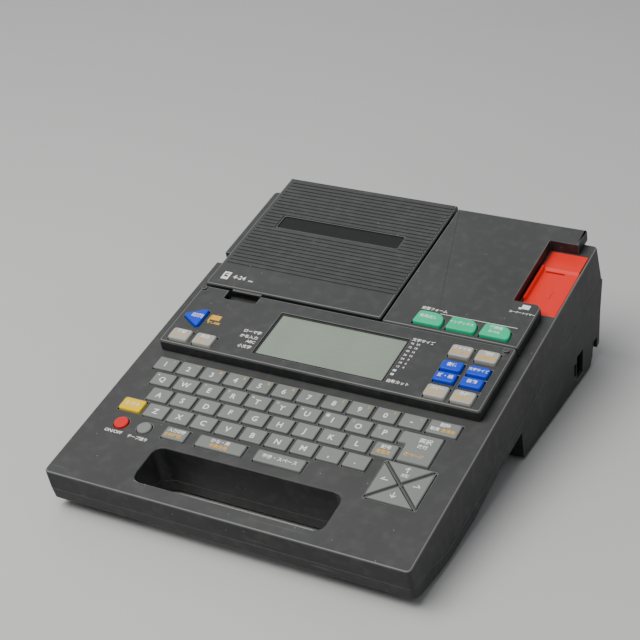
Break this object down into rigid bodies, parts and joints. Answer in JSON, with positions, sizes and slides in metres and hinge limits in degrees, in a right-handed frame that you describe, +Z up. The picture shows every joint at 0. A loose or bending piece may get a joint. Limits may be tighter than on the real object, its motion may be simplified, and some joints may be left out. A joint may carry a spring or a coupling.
{
  "type": "desktop label maker with keyboard",
  "caption": "Keyboard label maker with a sloping deck, carrying handle, display, hinged tape lid, cutter, corner trimmer and a deep rear battery box.",
  "frame": {"origin": "centre of the footprint, on the table under the feet", "axes": "+X to the right of a person typing, +Y from the carrying handle to the rear, +Z up"},
  "size_m": [0.2148, 0.2667, 0.0865],
  "materials": {
    "charcoal": "fine moulded grain, scuffed",
    "key_grey": "satin moulded keys with white legends",
    "key_light_grey": "satin moulded keys",
    "key_blue": "satin moulded keys",
    "key_green": "satin moulded keys",
    "key_yellow": "satin moulded key",
    "key_red": "satin moulded key",
    "smoked_window": "smoked clear plastic",
    "display_window": "clear cover over a grey-green display",
    "board": "circuit board",
    "red": "satin moulded tray",
    "cartridge": "tape cartridge shell",
    "steel": "bright steel",
    "rubber": "matt black rubber",
    "white_gear": "natural acetal",
    "cells": "battery cells",
    "jack": "black jack body"
  },
  "bodies": {
    "chassis": {"upper_case": "charcoal", "lower_case": "charcoal", "display_panel": "charcoal", "mechanism_cover": "charcoal", "cartridge_bay": "charcoal", "lid_hinge_pin": "steel", "lcd_window": "display_window", "display_board": "board", "trimmer_tray": "red", "main_board": "board", "keyboard_board": "board", "tape_cartridge": "cartridge", "print_head": "steel", "drive_motor": "steel", "battery_cells": "cells", "dc_jack": "jack", "foot_front_left": "rubber", "foot_front_right": "rubber", "foot_rear_left": "rubber", "foot_rear_right": "rubber"},
    "key_power": {"key_power": "key_red"},
    "key_tape_feed": {"key_tape_feed": "key_grey"},
    "key_shift": {"key_shift": "key_yellow"},
    "key_convert": {"key_convert": "key_grey"},
    "key_kana": {"key_kana": "key_grey"},
    "key_space": {"key_space": "key_grey"},
    "key_symbol": {"key_symbol": "key_grey"},
    "key_delete": {"key_delete": "key_grey"},
    "key_enter": {"key_enter": "key_grey"},
    "key_left": {"key_left": "key_grey"},
    "key_right": {"key_right": "key_grey"},
    "key_up": {"key_up": "key_grey"},
    "key_down": {"key_down": "key_grey"},
    "key_print": {"key_print": "key_blue"},
    "key_preview": {"key_preview": "key_light_grey"},
    "key_margin": {"key_margin": "key_light_grey"},
    "key_file": {"key_file": "key_light_grey"},
    "key_layout": {"key_layout": "key_light_grey"},
    "key_font": {"key_font": "key_blue"},
    "key_size": {"key_size": "key_blue"},
    "key_direction": {"key_direction": "key_blue"},
    "key_style": {"key_style": "key_blue"},
    "key_copy": {"key_copy": "key_light_grey"},
    "key_frame": {"key_frame": "key_light_grey"},
    "key_form_first": {"key_form_first": "key_green"},
    "key_form_second": {"key_form_second": "key_green"},
    "key_form_third": {"key_form_third": "key_green"},
    "number_key_row": {"number_key_row": "key_grey"},
    "upper_key_row": {"upper_key_row": "key_grey"},
    "home_key_row": {"home_key_row": "key_grey"},
    "lower_key_row": {"lower_key_row": "key_grey"},
    "lid": {"tape_lid": "charcoal", "lid_window": "smoked_window"},
    "battery_door": {"battery_cover": "charcoal"},
    "cutter": {"cutter_blade": "steel"},
    "trimmer": {"trimmer_blade": "steel"},
    "platen": {"platen_roller": "rubber"},
    "spindle": {"ribbon_spindle": "white_gear"},
    "idler": {"idler_gear": "white_gear"},
    "pinion": {"motor_pinion": "white_gear"}
  },
  "joints": [
    {"name": "key_power_press", "type": "slide", "parent": "chassis", "child": "key_power", "axis": [0, 0.1959, -0.9806], "range_m": [0, 0.001], "stiffness_N_per_m": 300},
    {"name": "key_tape_feed_press", "type": "slide", "parent": "chassis", "child": "key_tape_feed", "axis": [0, 0.1959, -0.9806], "range_m": [0, 0.001], "stiffness_N_per_m": 300},
    {"name": "key_shift_press", "type": "slide", "parent": "chassis", "child": "key_shift", "axis": [0, 0.1959, -0.9806], "range_m": [0, 0.001], "stiffness_N_per_m": 300},
    {"name": "key_convert_press", "type": "slide", "parent": "chassis", "child": "key_convert", "axis": [0, 0.1959, -0.9806], "range_m": [0, 0.001], "stiffness_N_per_m": 300},
    {"name": "key_kana_press", "type": "slide", "parent": "chassis", "child": "key_kana", "axis": [0, 0.1959, -0.9806], "range_m": [0, 0.001], "stiffness_N_per_m": 300},
    {"name": "key_space_press", "type": "slide", "parent": "chassis", "child": "key_space", "axis": [0, 0.1959, -0.9806], "range_m": [0, 0.001], "stiffness_N_per_m": 300},
    {"name": "key_symbol_press", "type": "slide", "parent": "chassis", "child": "key_symbol", "axis": [0, 0.1959, -0.9806], "range_m": [0, 0.001], "stiffness_N_per_m": 300},
    {"name": "key_delete_press", "type": "slide", "parent": "chassis", "child": "key_delete", "axis": [0, 0.1959, -0.9806], "range_m": [0, 0.001], "stiffness_N_per_m": 300},
    {"name": "key_enter_press", "type": "slide", "parent": "chassis", "child": "key_enter", "axis": [0, 0.1959, -0.9806], "range_m": [0, 0.001], "stiffness_N_per_m": 300},
    {"name": "key_left_press", "type": "slide", "parent": "chassis", "child": "key_left", "axis": [0, 0.1959, -0.9806], "range_m": [0, 0.001], "stiffness_N_per_m": 300},
    {"name": "key_right_press", "type": "slide", "parent": "chassis", "child": "key_right", "axis": [0, 0.1959, -0.9806], "range_m": [0, 0.001], "stiffness_N_per_m": 300},
    {"name": "key_up_press", "type": "slide", "parent": "chassis", "child": "key_up", "axis": [0, 0.1959, -0.9806], "range_m": [0, 0.001], "stiffness_N_per_m": 300},
    {"name": "key_down_press", "type": "slide", "parent": "chassis", "child": "key_down", "axis": [0, 0.1959, -0.9806], "range_m": [0, 0.001], "stiffness_N_per_m": 300},
    {"name": "key_print_press", "type": "slide", "parent": "chassis", "child": "key_print", "axis": [0, 0.1959, -0.9806], "range_m": [0, 0.001], "stiffness_N_per_m": 300},
    {"name": "key_preview_press", "type": "slide", "parent": "chassis", "child": "key_preview", "axis": [0, 0.1959, -0.9806], "range_m": [0, 0.001], "stiffness_N_per_m": 300},
    {"name": "key_margin_press", "type": "slide", "parent": "chassis", "child": "key_margin", "axis": [0, 0.1959, -0.9806], "range_m": [0, 0.001], "stiffness_N_per_m": 300},
    {"name": "key_file_press", "type": "slide", "parent": "chassis", "child": "key_file", "axis": [0, 0.1959, -0.9806], "range_m": [0, 0.001], "stiffness_N_per_m": 300},
    {"name": "key_layout_press", "type": "slide", "parent": "chassis", "child": "key_layout", "axis": [0, 0.1959, -0.9806], "range_m": [0, 0.001], "stiffness_N_per_m": 300},
    {"name": "key_font_press", "type": "slide", "parent": "chassis", "child": "key_font", "axis": [0, 0.1959, -0.9806], "range_m": [0, 0.001], "stiffness_N_per_m": 300},
    {"name": "key_size_press", "type": "slide", "parent": "chassis", "child": "key_size", "axis": [0, 0.1959, -0.9806], "range_m": [0, 0.001], "stiffness_N_per_m": 300},
    {"name": "key_direction_press", "type": "slide", "parent": "chassis", "child": "key_direction", "axis": [0, 0.1959, -0.9806], "range_m": [0, 0.001], "stiffness_N_per_m": 300},
    {"name": "key_style_press", "type": "slide", "parent": "chassis", "child": "key_style", "axis": [0, 0.1959, -0.9806], "range_m": [0, 0.001], "stiffness_N_per_m": 300},
    {"name": "key_copy_press", "type": "slide", "parent": "chassis", "child": "key_copy", "axis": [0, 0.1959, -0.9806], "range_m": [0, 0.001], "stiffness_N_per_m": 300},
    {"name": "key_frame_press", "type": "slide", "parent": "chassis", "child": "key_frame", "axis": [0, 0.1959, -0.9806], "range_m": [0, 0.001], "stiffness_N_per_m": 300},
    {"name": "key_form_first_press", "type": "slide", "parent": "chassis", "child": "key_form_first", "axis": [0, 0.1959, -0.9806], "range_m": [0, 0.001], "stiffness_N_per_m": 300},
    {"name": "key_form_second_press", "type": "slide", "parent": "chassis", "child": "key_form_second", "axis": [0, 0.1959, -0.9806], "range_m": [0, 0.001], "stiffness_N_per_m": 300},
    {"name": "key_form_third_press", "type": "slide", "parent": "chassis", "child": "key_form_third", "axis": [0, 0.1959, -0.9806], "range_m": [0, 0.001], "stiffness_N_per_m": 300},
    {"name": "number_key_row_press", "type": "slide", "parent": "chassis", "child": "number_key_row", "axis": [0, 0.1959, -0.9806], "range_m": [0, 0.001], "stiffness_N_per_m": 1500},
    {"name": "upper_key_row_press", "type": "slide", "parent": "chassis", "child": "upper_key_row", "axis": [0, 0.1959, -0.9806], "range_m": [0, 0.001], "stiffness_N_per_m": 1500},
    {"name": "home_key_row_press", "type": "slide", "parent": "chassis", "child": "home_key_row", "axis": [0, 0.1959, -0.9806], "range_m": [0, 0.001], "stiffness_N_per_m": 1500},
    {"name": "lower_key_row_press", "type": "slide", "parent": "chassis", "child": "lower_key_row", "axis": [0, 0.1959, -0.9806], "range_m": [0, 0.001], "stiffness_N_per_m": 1500},
    {"name": "lid_hinge", "type": "hinge", "parent": "chassis", "child": "lid", "pos_m": [0, 0.12607, 0.08088], "axis": [-1, 0, 0], "range_deg": [0, 85]},
    {"name": "battery_door_slide", "type": "slide", "parent": "chassis", "child": "battery_door", "axis": [0, 1, 0], "range_m": [0, 0.06]},
    {"name": "cutter_stroke", "type": "slide", "parent": "chassis", "child": "cutter", "axis": [0, -0.9806, -0.1959], "range_m": [0, 0.007], "stiffness_N_per_m": 200},
    {"name": "trimmer_stroke", "type": "slide", "parent": "chassis", "child": "trimmer", "axis": [0, -0.1959, 0.9806], "range_m": [0, 0.003], "stiffness_N_per_m": 500},
    {"name": "platen_spin", "type": "hinge", "parent": "chassis", "child": "platen", "pos_m": [-0.0834, 0.06817, 0.02363], "axis": [0, -0.1959, 0.9806], "continuous": true},
    {"name": "spindle_spin", "type": "hinge", "parent": "chassis", "child": "spindle", "pos_m": [-0.0474, 0.0819, 0.02637], "axis": [0, -0.1959, 0.9806], "continuous": true},
    {"name": "idler_spin", "type": "hinge", "parent": "chassis", "child": "idler", "pos_m": [-0.06343, 0.06712, 0.02342], "axis": [0, -0.1959, 0.9806], "continuous": true},
    {"name": "pinion_spin", "type": "hinge", "parent": "chassis", "child": "pinion", "pos_m": [-0.05879, 0.05313, 0.02062], "axis": [0, -0.1959, 0.9806], "continuous": true}
  ],
  "couplings": [
    {"joint": "idler_spin", "follows": "platen_spin", "ratio": -1},
    {"joint": "pinion_spin", "follows": "platen_spin", "ratio": 2},
    {"joint": "spindle_spin", "follows": "platen_spin", "ratio": 0.83333}
  ]
}
